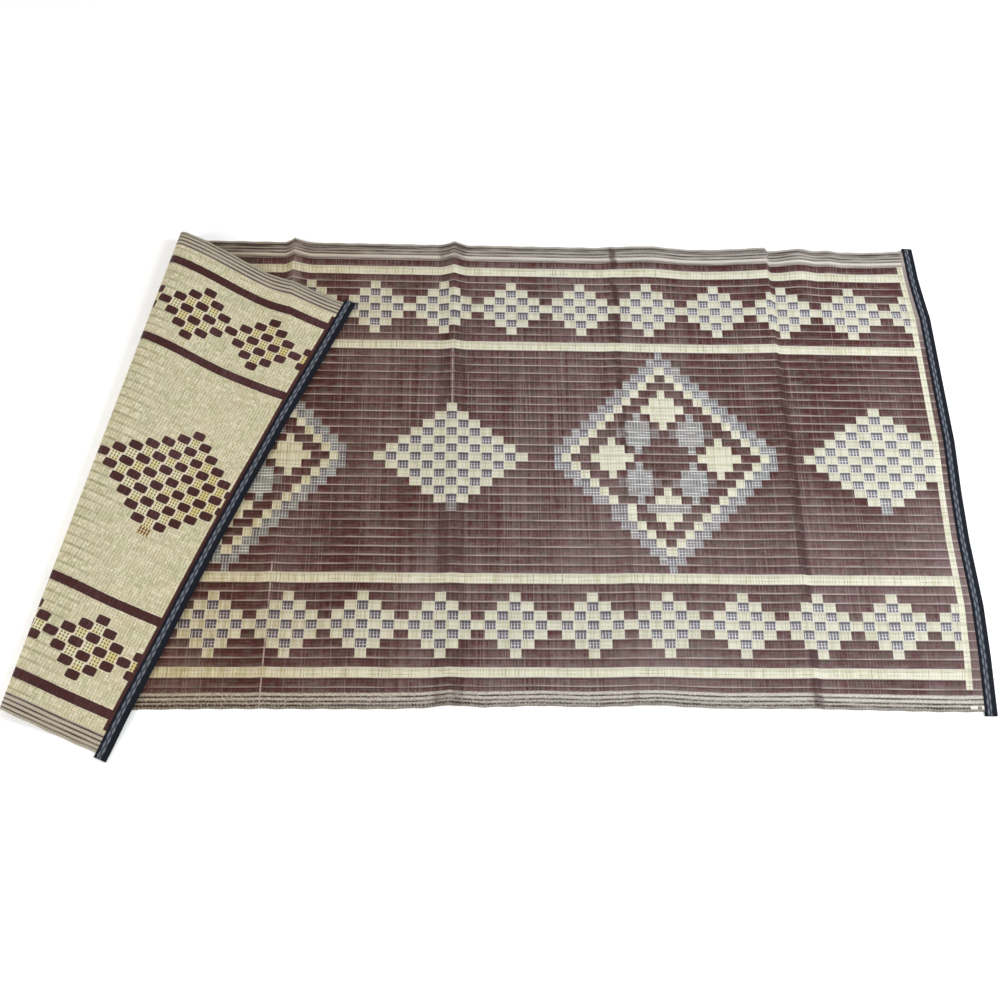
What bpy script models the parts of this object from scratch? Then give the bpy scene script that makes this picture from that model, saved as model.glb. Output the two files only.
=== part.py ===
"""Woven plastic mat, 1.80 m by 0.90 m, lying on a floor with one end folded back over it.

Metres, +Z up. "along" runs the length of the flat mat and "across" its width, both from its middle. The end at
+along lies flat. The other end is folded back over the mat on a slanted line, so its underside shows.
"""

import math

import bmesh
import bpy
from mathutils import Vector

MAT_LENGTH = 1.800
MAT_WIDTH = 0.900
CLOTH_THICKNESS = 0.0016

# The tape is folded round each short end.
TAPE_WIDTH = 0.021
TAPE_THICKNESS = 0.0006
TAPE_GAP = 0.0003
TAPE_OVERHANG = 0.006

# The fold line crosses the mat's middle line at FOLD_PLACE, and leans towards the flat end on the far side. The bend
# is tight at the near edge and springs up at the far one, and past it the folded end comes down over the ease.
FOLD_PLACE = -0.6145
FOLD_LEAN = math.radians(11.45)
BEND_RADIUS_NEAR = 0.0098
BEND_RADIUS_FAR = 0.0200
EASE_NEAR = 0.090
EASE_FAR = 0.200
LAYER_GAP = 0.0022

# The folded end bridges the lower layer's creases and swells: it follows them this many times wider.
BRIDGING = 2.2

# The folded end hangs past the near edge of the mat and comes down to the floor there.
DROOP_START = 0.012
DROOP_LENGTH = 0.055

END_RAMP = 0.030

# The short ends aren't straight between their corners. The bow is whole at the ends, and fades out further in.
BOW_WHOLE = 0.055
BOW_FADE = 0.145

# Heights are whole hundredths of a millimetre, so that what is nearly flat is flat.
HEIGHT_DECIMALS = 5

# Where the box of the folded mat has its middle, measured from the middle of the flat mat.
MIDDLE_ALONG = 0.1070
MIDDLE_ACROSS = -0.0378

HALF_LENGTH = MAT_LENGTH / 2
HALF_WIDTH = MAT_WIDTH / 2
CLOTH_HALF_LENGTH = HALF_LENGTH - TAPE_THICKNESS - TAPE_GAP - CLOTH_THICKNESS / 2
END_LIFT = TAPE_THICKNESS + TAPE_GAP

# Creases left by packing, which cross the whole width. Each is a ridge with a sharp crest, steeper on one side than
# the other, and most are highest at the far edge.
# place, reach_left, reach_right, rise_far, rise_middle, rise_near
CREASES = (
    (-0.299, 0.021, 0.036, 0.0150, 0.0035, 0.0035),
    (0.004, 0.030, 0.029, 0.0130, 0.0030, 0.0035),
    (0.306, 0.035, 0.060, 0.0030, 0.0025, 0.0020),
    (0.606, 0.125, 0.010, 0.0120, 0.0045, 0.0040),
)
CREST_SHARPNESS = 1.6

# Broad low swells between the creases, where the mat doesn't touch the floor.
# along, across, reach_along, reach_across, rise
SWELLS = (
    (-0.155, -0.300, 0.095, 0.190, 0.0045),
    (0.375, 0.450, 0.085, 0.200, 0.0080),
    (0.380, -0.310, 0.190, 0.200, 0.0070),
    (0.672, 0.450, 0.050, 0.180, 0.0095),
    (0.728, 0.450, 0.034, 0.120, 0.0050),
    (0.870, 0.450, 0.070, 0.130, 0.0050),
)

# How far each short end stands off the straight line, towards the flat end.
# across, folded_end, flat_end
END_BOWS = (
    (-0.456, -0.002, 0.000),
    (-0.360, 0.001, 0.007),
    (-0.270, 0.003, 0.011),
    (-0.150, 0.006, 0.008),
    (-0.060, 0.008, 0.010),
    (0.040, 0.008, 0.015),
    (0.150, 0.007, 0.014),
    (0.300, 0.004, 0.013),
    (0.390, 0.002, 0.003),
    (0.456, 0.001, 0.000),
)

# How far the near edge stands in from the straight line. The sway is whole at the edge and fades out further in.
# along, inward
NEAR_SWAY = (
    (-0.500, 0.0000),
    (-0.380, 0.0015),
    (-0.100, 0.0015),
    (-0.040, 0.0030),
    (0.004, 0.0075),
    (0.060, 0.0045),
    (0.150, 0.0070),
    (0.230, 0.0048),
    (0.340, 0.0080),
    (0.400, 0.0045),
    (0.450, 0.0025),
    (0.590, 0.0025),
    (0.700, 0.0000),
    (0.810, -0.0025),
    (0.900, -0.0025),
)
SWAY_FADE = 0.085

# Columns of the cloth's grid, from the folded end to the flat one. They lie closest at the bend and the creases.
# start, cells
CLOTH_STRETCHES = (
    (-CLOTH_HALF_LENGTH, 1),
    (-HALF_LENGTH + TAPE_WIDTH / 2, 1),
    (-HALF_LENGTH + TAPE_WIDTH, 4),
    (-0.800, 7),
    (FOLD_PLACE - 0.035, 14),
    (FOLD_PLACE + 0.035, 5),
    (-0.360, 2),
    (-0.320, 2),
    (-0.299, 3),
    (-0.263, 5),
    (-0.044, 1),
    (-0.026, 3),
    (0.004, 3),
    (0.033, 1),
    (0.052, 5),
    (0.268, 5),
    (0.366, 3),
    (0.478, 5),
    (0.606, 1),
    (0.616, 1),
    (0.626, 8),
    (0.846, 1),
    (HALF_LENGTH - TAPE_WIDTH, 1),
    (HALF_LENGTH - TAPE_WIDTH / 2, 1),
    (CLOTH_HALF_LENGTH, 0),
)

# Rows of the grid, from the near edge to the far one. They lie closest where the folded end comes down to the floor.
CLOTH_ROW_STRETCHES = (
    (-HALF_WIDTH, 8),
    (-0.290, 13),
    (0.200, 7),
    (HALF_WIDTH, 0),
)
TAPE_BEND_CELLS = 4

# The rows of the grid are staggered along by up to this much, away from the ends, so that no three corners of a
# column stand in line.
STAGGER = 0.0012
STAGGER_WITHIN = 0.840

# The grid's columns lean with the fold line near it, and stand square to the long edges elsewhere.
# along, share of the lean
COLUMN_LEANS = (
    (-0.875, 0.0),
    (-0.700, 1.0),
    (-0.560, 1.0),
    (-0.360, 0.0),
)


def smooth(share):
    """A soft step from 0 to 1, level at both ends."""
    share = min(max(share, 0.0), 1.0)
    return share * share * (3 - 2 * share)


def blend(start, end, share):
    return start + (end - start) * share


def read_table(table, place, column):
    """A table's value at a place between its lines; its first column is the place."""
    place = min(max(place, table[0][0]), table[-1][0])
    for first, last in zip(table, table[1:]):
        if first[0] <= place <= last[0]:
            return blend(first[column], last[column], (place - first[0]) / (last[0] - first[0]))


def end_bow(along, across):
    """How far this point of the flat mat is moved along by the bow of the nearer short end."""
    bow = read_table(END_BOWS, across, 1 if along < 0 else 2)
    return bow * smooth((abs(along) - HALF_LENGTH + BOW_WHOLE + BOW_FADE) / BOW_FADE)


def near_sway(along, across):
    """How far this point of the flat mat is moved across by the sway of the near edge."""
    return read_table(NEAR_SWAY, along, 1) * smooth((SWAY_FADE - HALF_WIDTH - across) / SWAY_FADE)


def crease_rise(along, across, widening, place, reach_left, reach_right, rise_far, rise_middle, rise_near):
    """Height of one crease's ridge at this point of the flat mat."""
    offset = (along - place) / widening
    reach = reach_left if offset < 0 else reach_right
    edge_rise = rise_far if across > 0 else rise_near
    rise = blend(rise_middle, edge_rise, (across / HALF_WIDTH) ** 2)
    return rise * max(1 - abs(offset) / reach, 0.0) ** CREST_SHARPNESS


def swell_rise(along, across, widening, centre_along, centre_across, reach_along, reach_across, rise):
    """Height of one broad swell at this point of the flat mat."""
    offset = math.hypot((along - centre_along) / reach_along, (across - centre_across) / reach_across)
    return rise * smooth(1 - offset / widening)


def end_lift(along):
    """The cloth is lifted by the thickness of the tape that lies under its ends."""
    return END_LIFT * smooth((abs(along) - HALF_LENGTH + TAPE_WIDTH + END_RAMP) / END_RAMP)


def unevenness(along, across, widening=1.0):
    """How far the lower layer stands off the floor, leaving out the tape."""
    ridges = sum(crease_rise(along, across, widening, *crease) for crease in CREASES)
    swells = sum(swell_rise(along, across, widening, *swell) for swell in SWELLS)
    return ridges + swells


def resting_height(x, y):
    """Height of the folded end's middle surface where it lies on the lower layer, or on the floor past its edge."""
    support = CLOTH_THICKNESS + unevenness(x, y, BRIDGING) + LAYER_GAP
    droop = smooth((-HALF_WIDTH - DROOP_START - y) / DROOP_LENGTH)
    return support * (1 - droop) + CLOTH_THICKNESS / 2


def ease_loss(drop, ease, share):
    """Length that the folded end gives up to its own slope, up to this share of the ease where it comes down."""
    return 18 * drop**2 / ease * (share**3 / 3 - share**4 / 2 + share**5 / 5)


def bend_radius(place):
    """Radius of the bend at this place along the fold line."""
    return blend(BEND_RADIUS_NEAR, BEND_RADIUS_FAR, (place + HALF_WIDTH) / MAT_WIDTH)


def folded_point(past, place):
    """Point of the bend or of the folded end: past the fold line by this much, at this place along the line."""
    radius = bend_radius(place)
    ease = blend(EASE_NEAR, EASE_FAR, (place + HALF_WIDTH) / MAT_WIDTH)
    quarter = math.pi * radius / 2
    if past < quarter:
        turn = (past + quarter) / radius
        inward = quarter - radius * math.sin(turn)
        height = CLOTH_THICKNESS / 2 + radius * (1 - math.cos(turn))
        eased = 0.0
    else:
        share = min((past - quarter) / ease, 1.0)
        inward = past - ease_loss(2 * radius - LAYER_GAP, ease, share)
        height = CLOTH_THICKNESS / 2 + 2 * radius
        eased = smooth(share)
    x = FOLD_PLACE + place * math.sin(FOLD_LEAN) + inward * math.cos(FOLD_LEAN)
    y = place * math.cos(FOLD_LEAN) - inward * math.sin(FOLD_LEAN)
    return x, y, blend(height, resting_height(x, y), eased)


def mat_point(along, across):
    """Where a point of the flat mat's middle surface lies in the folded mat."""
    lift = end_lift(along)
    sway = near_sway(along, across)
    along += end_bow(along, across)
    across += sway
    past = across * math.sin(FOLD_LEAN) - (along - FOLD_PLACE) * math.cos(FOLD_LEAN)
    place = across * math.cos(FOLD_LEAN) + (along - FOLD_PLACE) * math.sin(FOLD_LEAN)
    if past < -math.pi / 2 * bend_radius(place):
        x, y, z = along, across, CLOTH_THICKNESS / 2 + unevenness(along, across)
    else:
        x, y, z = folded_point(past, place)
    height = round(z + lift, HEIGHT_DECIMALS)
    return Vector((x - MIDDLE_ALONG, y - MIDDLE_ACROSS, height))


def mat_normal(along, across):
    """Direction out of the mat's patterned face."""
    step = 0.0005
    run = mat_point(along + step, across) - mat_point(along - step, across)
    rise = mat_point(along, across + step) - mat_point(along, across - step)
    return run.cross(rise).normalized()


def grid_places(stretches):
    """Places of a grid's lines, evenly spaced in each stretch."""
    places = []
    for (start, cells), (end, _) in zip(stretches, stretches[1:]):
        places += [blend(start, end, cell / cells) for cell in range(cells)]
    return places + [stretches[-1][0]]


def column_lean(along):
    """Share of the fold line's lean that a column at this place takes."""
    for (start, first), (end, last) in zip(COLUMN_LEANS, COLUMN_LEANS[1:]):
        if start <= along <= end:
            return blend(first, last, (along - start) / (end - start))
    return 0.0


def grid_object(name, columns, rows, place_of):
    """An open sheet of columns by rows cells, whose corners go where place_of(column, row) says."""
    sheet = bmesh.new()
    bmesh.ops.create_grid(sheet, x_segments=columns, y_segments=rows, size=0.5)
    for corner in sheet.verts:
        column = round((corner.co.x + 0.5) * columns)
        row = round((corner.co.y + 0.5) * rows)
        corner.co = place_of(column, row)
    mesh = bpy.data.meshes.new(name)
    sheet.to_mesh(mesh)
    sheet.free()
    mesh.shade_smooth()
    return bpy.data.objects.new(name, mesh)


def thicken(sheet, thickness):
    """Gives an open sheet its thickness, half on each side."""
    solid = sheet.modifiers.new("thickness", "SOLIDIFY")
    solid.thickness = thickness
    solid.offset = 0.0
    solid.use_even_offset = True


def make_material(name, colour, roughness):
    material = bpy.data.materials.new(name)
    material.use_nodes = True
    shader = material.node_tree.nodes["Principled BSDF"]
    shader.inputs["Base Color"].default_value = (*colour, 1.0)
    shader.inputs["Roughness"].default_value = roughness
    shader.inputs["Metallic"].default_value = 0.0
    return material


def make_cloth(material):
    """The woven cloth with its selvedges: one sheet from end to end, through the bend."""
    columns = grid_places(CLOTH_STRETCHES)
    rows = grid_places(CLOTH_ROW_STRETCHES)

    def place_of(column, row):
        along, across = columns[column], rows[row]
        lean = column_lean(along) * across * math.tan(FOLD_LEAN)
        stagger = STAGGER * math.sin(2.3 * row) if abs(along) < STAGGER_WITHIN else 0.0
        return mat_point(along + lean + stagger, across)

    cloth = grid_object("mat_cloth", len(columns) - 1, len(rows) - 1, place_of)
    thicken(cloth, CLOTH_THICKNESS)
    cloth.data.materials.append(material)
    return cloth


def tape_section():
    """The tape's section: how far in from the mat's end, and how far off the cloth's middle surface."""
    offset = CLOTH_THICKNESS / 2 + TAPE_GAP + TAPE_THICKNESS / 2
    turn_centre = TAPE_THICKNESS / 2 + offset
    upper = [(TAPE_WIDTH, offset), (TAPE_WIDTH / 2, offset)]
    turns = [math.pi * (0.5 - cell / TAPE_BEND_CELLS) for cell in range(TAPE_BEND_CELLS + 1)]
    bend = [(turn_centre - offset * math.cos(turn), offset * math.sin(turn)) for turn in turns]
    lower = [(TAPE_WIDTH / 2, -offset), (TAPE_WIDTH, -offset)]
    return upper + bend + lower


def make_binding(name, end, material):
    """The tape round one short end; end is +1 for the flat end and -1 for the folded one."""
    section = tape_section()
    tape_end = HALF_WIDTH + TAPE_OVERHANG
    rows = [-tape_end, *grid_places(CLOTH_ROW_STRETCHES), tape_end]

    def place_of(column, row):
        inset, offset = section[column]
        along = end * (HALF_LENGTH - inset)
        return mat_point(along, rows[row]) + offset * mat_normal(along, rows[row])

    binding = grid_object(name, len(section) - 1, len(rows) - 1, place_of)
    thicken(binding, TAPE_THICKNESS)
    binding.data.materials.append(material)
    return binding


def clear_scene():
    for old in list(bpy.data.objects):
        bpy.data.objects.remove(old, do_unlink=True)


def main():
    clear_scene()
    cloth_plastic = make_material("woven_plastic", (0.13, 0.05, 0.045), 0.45)
    tape_cloth = make_material("binding_tape", (0.02, 0.024, 0.035), 0.6)
    mat = bpy.data.collections.new("woven_plastic_mat")
    bpy.context.scene.collection.children.link(mat)
    mat.objects.link(make_cloth(cloth_plastic))
    mat.objects.link(make_binding("binding_right_end", 1, tape_cloth))
    mat.objects.link(make_binding("binding_left_end", -1, tape_cloth))


main()
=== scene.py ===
# %% [markdown]
# # A woven plastic mat with one end folded back
#
# The mat is one cloth of flat plastic straws, with a tape sewn round each short end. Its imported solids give
# the size and the form. This lesson dresses them: it weaves a finer cloth over the same form, sews the
# tapes, and lights the mat softly from both sides.

import math
from types import SimpleNamespace

import bmesh
import bpy
from mathutils import Matrix, Vector


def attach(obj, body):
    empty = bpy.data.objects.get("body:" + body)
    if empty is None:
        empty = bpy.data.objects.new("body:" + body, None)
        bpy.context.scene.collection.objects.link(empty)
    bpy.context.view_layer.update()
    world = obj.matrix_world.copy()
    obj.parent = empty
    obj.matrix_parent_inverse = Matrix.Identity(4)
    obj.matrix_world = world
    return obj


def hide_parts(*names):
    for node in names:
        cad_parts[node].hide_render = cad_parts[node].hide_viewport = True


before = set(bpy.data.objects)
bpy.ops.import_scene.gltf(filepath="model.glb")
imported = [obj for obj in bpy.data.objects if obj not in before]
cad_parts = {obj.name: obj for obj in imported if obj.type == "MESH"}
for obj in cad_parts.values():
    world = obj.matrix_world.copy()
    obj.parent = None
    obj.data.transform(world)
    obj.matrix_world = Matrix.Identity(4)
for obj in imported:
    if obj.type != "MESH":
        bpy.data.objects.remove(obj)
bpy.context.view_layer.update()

# %% [markdown]
# ## The camera
#
# The eye stands a little left of the mat's middle and looks down at it steeply. Its three axes were worked
# out from places on the mat whose size is known, so the camera is set by a matrix and not by turning it by
# hand.

# %% Place the camera
EYE = Vector((-0.0958, -0.7642, 1.7167))
FORWARD = Vector((0.04116, 0.38628, -0.92146)).normalized()
RIGHT = Vector((0.99911, -0.00760, 0.04144)).normalized()
SENSOR_WIDTH = 36.0
LENS = 38.51


def make_camera():
    up = RIGHT.cross(FORWARD)
    bpy.ops.object.camera_add()
    camera = bpy.context.object
    camera.name = "mat_camera"
    camera.data.sensor_width = SENSOR_WIDTH
    camera.data.lens = LENS
    axes = Matrix((RIGHT, up, -FORWARD)).transposed().to_4x4()
    camera.matrix_world = Matrix.Translation(EYE) @ axes
    bpy.context.scene.camera = camera


bpy.ops.object.select_all(action="DESELECT")
make_camera()
print("camera at", [round(place, 3) for place in EYE])

# %% [markdown]
# ## The mat's form
#
# "Along" runs the length of the flat mat and "across" its width, both from its middle. The same few sizes
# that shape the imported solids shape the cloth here: creases left by packing, broad low swells, and an end
# that bends back over the mat on a slanted line. A function that turns a flat place into a folded one keeps
# the straws at their true length, which a cloth pulled about by hand wouldn't.

# %% Sizes of the mat, in metres
MAT_LENGTH = 1.800
MAT_WIDTH = 0.900
HALF_LENGTH = MAT_LENGTH / 2
HALF_WIDTH = MAT_WIDTH / 2
CLOTH_THICKNESS = 0.0016
TAPE_WIDTH = 0.021
TAPE_THICKNESS = 0.0006
TAPE_GAP = 0.0003
TAPE_OVERHANG = 0.006
CLOTH_HALF_LENGTH = HALF_LENGTH - TAPE_THICKNESS - TAPE_GAP - CLOTH_THICKNESS / 2
END_LIFT = TAPE_THICKNESS + TAPE_GAP
END_RAMP = 0.030
FOLD_PLACE = -0.6145
FOLD_LEAN = math.radians(11.45)
BEND_RADIUS_NEAR = 0.0098
BEND_RADIUS_FAR = 0.0200
EASE_NEAR = 0.090
EASE_FAR = 0.200
LAYER_GAP = 0.0022
BRIDGING = 2.2
DROOP_START = 0.012
DROOP_LENGTH = 0.055
BOW_WHOLE = 0.055
BOW_FADE = 0.145
MIDDLE_ALONG = 0.1070
MIDDLE_ACROSS = -0.0378

# place, reach_left, reach_right, rise_far, rise_middle, rise_near
CREASES = (
    (-0.299, 0.021, 0.036, 0.0150, 0.0035, 0.0035),
    (0.004, 0.030, 0.029, 0.0130, 0.0030, 0.0035),
    (0.306, 0.035, 0.060, 0.0030, 0.0025, 0.0020),
    (0.606, 0.125, 0.010, 0.0120, 0.0045, 0.0040),
)
CREST_SHARPNESS = 1.6

# along, across, reach_along, reach_across, rise
SWELLS = (
    (-0.155, -0.300, 0.095, 0.190, 0.0045),
    (0.375, 0.450, 0.085, 0.200, 0.0080),
    (0.380, -0.310, 0.190, 0.200, 0.0070),
    (0.672, 0.450, 0.050, 0.180, 0.0095),
    (0.728, 0.450, 0.034, 0.120, 0.0050),
    (0.870, 0.450, 0.070, 0.130, 0.0050),
)

# across, folded_end, flat_end
END_BOWS = (
    (-0.456, -0.002, 0.000),
    (-0.360, 0.001, 0.007),
    (-0.270, 0.003, 0.011),
    (-0.150, 0.006, 0.008),
    (-0.060, 0.008, 0.010),
    (0.040, 0.008, 0.015),
    (0.150, 0.007, 0.014),
    (0.300, 0.004, 0.013),
    (0.390, 0.002, 0.003),
    (0.456, 0.001, 0.000),
)

# along, inward
NEAR_SWAY = (
    (-0.500, 0.0000), (-0.380, 0.0015), (-0.100, 0.0015), (-0.040, 0.0030), (0.004, 0.0075),
    (0.060, 0.0045), (0.150, 0.0070), (0.230, 0.0048), (0.340, 0.0080), (0.400, 0.0045),
    (0.450, 0.0025), (0.590, 0.0025), (0.700, 0.0000), (0.810, -0.0025), (0.900, -0.0025),
)
SWAY_FADE = 0.085
print("creases", len(CREASES), "swells", len(SWELLS))

# %% Heights of the cloth that lies on the floor


def smooth(share):
    share = min(max(share, 0.0), 1.0)
    return share * share * (3 - 2 * share)


def blend(start, end, share):
    return start + (end - start) * share


def read_table(table, place, column):
    """A table's value between its lines; the first column is the place."""
    place = min(max(place, table[0][0]), table[-1][0])
    for first, last in zip(table, table[1:]):
        if first[0] <= place <= last[0]:
            return blend(first[column], last[column], (place - first[0]) / (last[0] - first[0]))


def crease_rise(along, across, widening, place, reach_left, reach_right, rise_far, rise_middle, rise_near):
    offset = (along - place) / widening
    reach = reach_left if offset < 0 else reach_right
    edge_rise = rise_far if across > 0 else rise_near
    rise = blend(rise_middle, edge_rise, (across / HALF_WIDTH) ** 2)
    return rise * max(1 - abs(offset) / reach, 0.0) ** CREST_SHARPNESS


def swell_rise(along, across, widening, centre_along, centre_across, reach_along, reach_across, rise):
    offset = math.hypot((along - centre_along) / reach_along, (across - centre_across) / reach_across)
    return rise * smooth(1 - offset / widening)


def unevenness(along, across, widening=1.0):
    ridges = sum(crease_rise(along, across, widening, *crease) for crease in CREASES)
    return ridges + sum(swell_rise(along, across, widening, *swell) for swell in SWELLS)


def end_lift(along):
    return END_LIFT * smooth((abs(along) - HALF_LENGTH + TAPE_WIDTH + END_RAMP) / END_RAMP)


def end_bow(along, across):
    bow = read_table(END_BOWS, across, 1 if along < 0 else 2)
    return bow * smooth((abs(along) - HALF_LENGTH + BOW_WHOLE + BOW_FADE) / BOW_FADE)


def near_sway(along, across):
    return read_table(NEAR_SWAY, along, 1) * smooth((SWAY_FADE - HALF_WIDTH - across) / SWAY_FADE)


print("ridge at the far edge", round(unevenness(0.004, 0.45) * 1000, 1), "mm")

# %% [markdown]
# ## The fold
#
# The end rolls over a bend whose radius grows from the near edge to the far one, then comes down and rests
# on the lower layer. Past the near edge it droops to the floor. A cloth simulation could drop the end, but
# it wouldn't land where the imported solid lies. A formula for each stretch of the way does, and it is the
# same at every run.

# %% Turn a flat place into a folded one


def resting_height(x, y):
    support = CLOTH_THICKNESS + unevenness(x, y, BRIDGING) + LAYER_GAP
    droop = smooth((-HALF_WIDTH - DROOP_START - y) / DROOP_LENGTH)
    return support * (1 - droop) + CLOTH_THICKNESS / 2


def ease_loss(drop, ease, share):
    """How much of its way in the cloth loses while it comes down: half the sum of its squared slope."""
    return 18 * drop**2 / ease * (share**3 / 3 - share**4 / 2 + share**5 / 5)


def bend_radius(place):
    return blend(BEND_RADIUS_NEAR, BEND_RADIUS_FAR, (place + HALF_WIDTH) / MAT_WIDTH)


def folded_point(past, place):
    """Past the fold line by this much, at this place along the line."""
    radius = bend_radius(place)
    ease = blend(EASE_NEAR, EASE_FAR, (place + HALF_WIDTH) / MAT_WIDTH)
    quarter = math.pi * radius / 2
    if past < quarter:
        turn = (past + quarter) / radius
        inward = quarter - radius * math.sin(turn)
        height = CLOTH_THICKNESS / 2 + radius * (1 - math.cos(turn))
        eased = 0.0
    else:
        share = min((past - quarter) / ease, 1.0)
        inward = past - ease_loss(2 * radius - LAYER_GAP, ease, share)
        height = CLOTH_THICKNESS / 2 + 2 * radius
        eased = smooth(share)
    x = FOLD_PLACE + place * math.sin(FOLD_LEAN) + inward * math.cos(FOLD_LEAN)
    y = place * math.cos(FOLD_LEAN) - inward * math.sin(FOLD_LEAN)
    return x, y, blend(height, resting_height(x, y), eased)


def mat_point(along, across):
    """Where a place of the flat mat's middle surface lies in the folded mat."""
    lift = end_lift(along)
    sway = near_sway(along, across)
    along += end_bow(along, across)
    across += sway
    past = across * math.sin(FOLD_LEAN) - (along - FOLD_PLACE) * math.cos(FOLD_LEAN)
    place = across * math.cos(FOLD_LEAN) + (along - FOLD_PLACE) * math.sin(FOLD_LEAN)
    if past < -math.pi / 2 * bend_radius(place):
        x, y, z = along, across, CLOTH_THICKNESS / 2 + unevenness(along, across)
    else:
        x, y, z = folded_point(past, place)
    return Vector((x - MIDDLE_ALONG, y - MIDDLE_ACROSS, z + lift))


def mat_normal(along, across):
    step = 0.0005
    run = mat_point(along + step, across) - mat_point(along - step, across)
    rise = mat_point(along, across + step) - mat_point(along, across - step)
    return run.cross(rise).normalized()


print("folded corner", [round(place, 3) for place in mat_point(-HALF_LENGTH, -HALF_WIDTH)])

# %% [markdown]
# ## Counting the weave
#
# The mat is counted as a weaver counts it. A *straw* is one pair of flat plastic straws, one brown and one
# cream, and it runs across the mat. A *row* lies between two pale binding threads, and runs along the mat.
# All the motifs are whole numbers of straws and rows, so a chart can say what each little field shows. The
# rows are not quite even, and the straws were pushed about by packing, so two short tables turn counts into
# metres.

# %% Places of straws and rows on the flat mat
STRAW_PITCH = 0.005372
ROW_HEIGHT = 0.01614
STRIPE_HEIGHT = 0.01720
SELVEDGE_ROW = 0.01205

# How far the straws lie from an even count, in millimetres.
# straw, far_band, middle, near_band
STRAW_DRIFT = (
    (-168, 2.5, 2.5, 2.5),
    (-147, 4.5, 3.0, 4.0),
    (-123, 9.5, 8.0, 8.5),
    (-75, 14.0, 14.0, 13.0),
    (-51, 8.8, 8.8, 6.5),
    (-27, 0.5, 2.6, 1.5),
    (-3, 0.8, 1.8, 2.0),
    (21, -2.4, -2.4, -2.6),
    (45, -0.4, 0.3, -1.0),
    (69, -2.9, -2.1, -4.5),
    (93, -2.0, -1.5, -5.0),
    (117, -1.0, -3.0, -5.0),
    (141, -2.0, -8.0, -9.0),
    (162, -10.0, -11.5, -15.0),
    (170, -10.0, -11.5, -15.0),
)
BAND_ACROSS = 0.3077

# Row counts from the middle: the field, a cream stripe, the band of small diamonds, a cream stripe, one brown
# row, and the selvedge.
# rows, height of each
ROW_GROUPS = (
    (13.5, ROW_HEIGHT),
    (1, STRIPE_HEIGHT),
    (9, ROW_HEIGHT),
    (1, STRIPE_HEIGHT),
    (1, ROW_HEIGHT),
    (3, SELVEDGE_ROW),
)
FIELD_EDGE = 13.5
BAND_MIDDLE = 19.0
BAND_EDGE = 23.5
BROWN_EDGE = 25.5
LAST_ROW = 28.5


def row_place(row):
    """Across place of a row count; counts grow towards the near edge."""
    left, place = abs(row), 0.0
    for count, height in ROW_GROUPS:
        place += min(left, count) * height
        left -= min(left, count)
    return -math.copysign(place, row)


def straw_place(straw, across):
    """Along place of a straw count, at this place across."""
    share = across / BAND_ACROSS
    middle = read_table(STRAW_DRIFT, straw, 2)
    side = read_table(STRAW_DRIFT, straw, 1 if across > 0 else 3)
    drift = blend(middle, side, min(share * share, 1.8))
    return straw * STRAW_PITCH + drift / 1000


print("half width from the rows", round(-row_place(LAST_ROW), 4))

# %% [markdown]
# ## The chart
#
# The pattern is the plain stepped-diamond kind that straw mats have: large chequered diamonds, a diamond
# ring round eight small ones, chains of small chequered diamonds in both bands, and stripes. It could be an
# image laid over the mat, but that blurs close up. Here each motif is a rule on steps counted from its
# middle, so its edges fall between two straws. The weaver's slips in one ring are kept too. Where a brown
# field meets a paler one, its straws lean half a straw over it on top, and the last rule adds that.

# %% Say what each field of the weave shows
CHEQUERS = (-144, 0, 144)
RINGED = (-72.5, 71.5)
CHAIN_START = -3
FIRST_STRAW, LAST_STRAW = -163, 162
END_LINE = 2
SLIP_ROW = 6
SLIP_STEP = 2
SMALL_CREAM = ((0, 6), (0, -6), (6, 0), (-6, 0))
SMALL_PALE = ((3, 3), (3, -3), (-3, 3), (-3, -3))

# How far the motifs reach from their middles, in steps.
CHEQUER_REACH = 6
SMALL_REACH = 2
RING_REACH = 13
RING_BROADEST = 12
RING_CREAM = 11
CHAIN_REACH = 3

# Shares of cream, of both straws side by side, and of washed-out pale straws; the rest is brown.
BROWN = (0.0, 0.0, 0.0)
CREAM = (1.0, 0.0, 0.0)
MIXED = (0.0, 1.0, 0.0)
PALE = (0.0, 0.0, 1.0)
CELL = (1.0, 0.0, 0.12)
RING_PALENESS = (0.10, 0.60, 0.30)
FADED = (0.0, 0.30, 0.70)
PALE_TIP = (0.0, 0.10, 0.35)
SLIPPED = (0.0, 0.40, 0.85)
END_PALENESS = 0.30
print("large diamonds", len(CHEQUERS) + len(RINGED))

# %% Give each motif its rule


def chequer_field(step, row):
    """A large diamond, seven fields from its middle to each point."""
    if abs(step) + abs(row) > CHEQUER_REACH:
        return None
    if row == CHEQUER_REACH:
        return FADED
    return CELL if (step + row) % 2 == 0 else MIXED


def small_diamond_field(step, row):
    """One of the eight diamonds inside a ring."""
    if any(abs(step - x) + abs(row - y) <= SMALL_REACH for x, y in SMALL_CREAM):
        return CREAM
    for x, y in SMALL_PALE:
        if abs(step - x) + abs(row - y) <= SMALL_REACH:
            return PALE_TIP if abs(step - x) == SMALL_REACH else PALE
    return None


def ringed_field(step, row, slips=False):
    """A ring of one cream and two pale fields, with eight small diamonds in it."""
    out = abs(step) + abs(row)
    slipped = slips and row == SLIP_ROW and step <= SLIP_STEP
    if slipped:
        out += 1
    if out > RING_REACH or abs(step) > RING_BROADEST:
        return None
    if out > RING_CREAM:
        paleness = RING_PALENESS[(5 * step + 3 * row) % 3] + (END_PALENESS if out == RING_REACH else 0.0)
        return (0.0, 1.0, paleness)
    if out == RING_CREAM:
        return CREAM
    field = small_diamond_field(step, row)
    return SLIPPED if slipped and field == CREAM else field or BROWN


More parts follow.
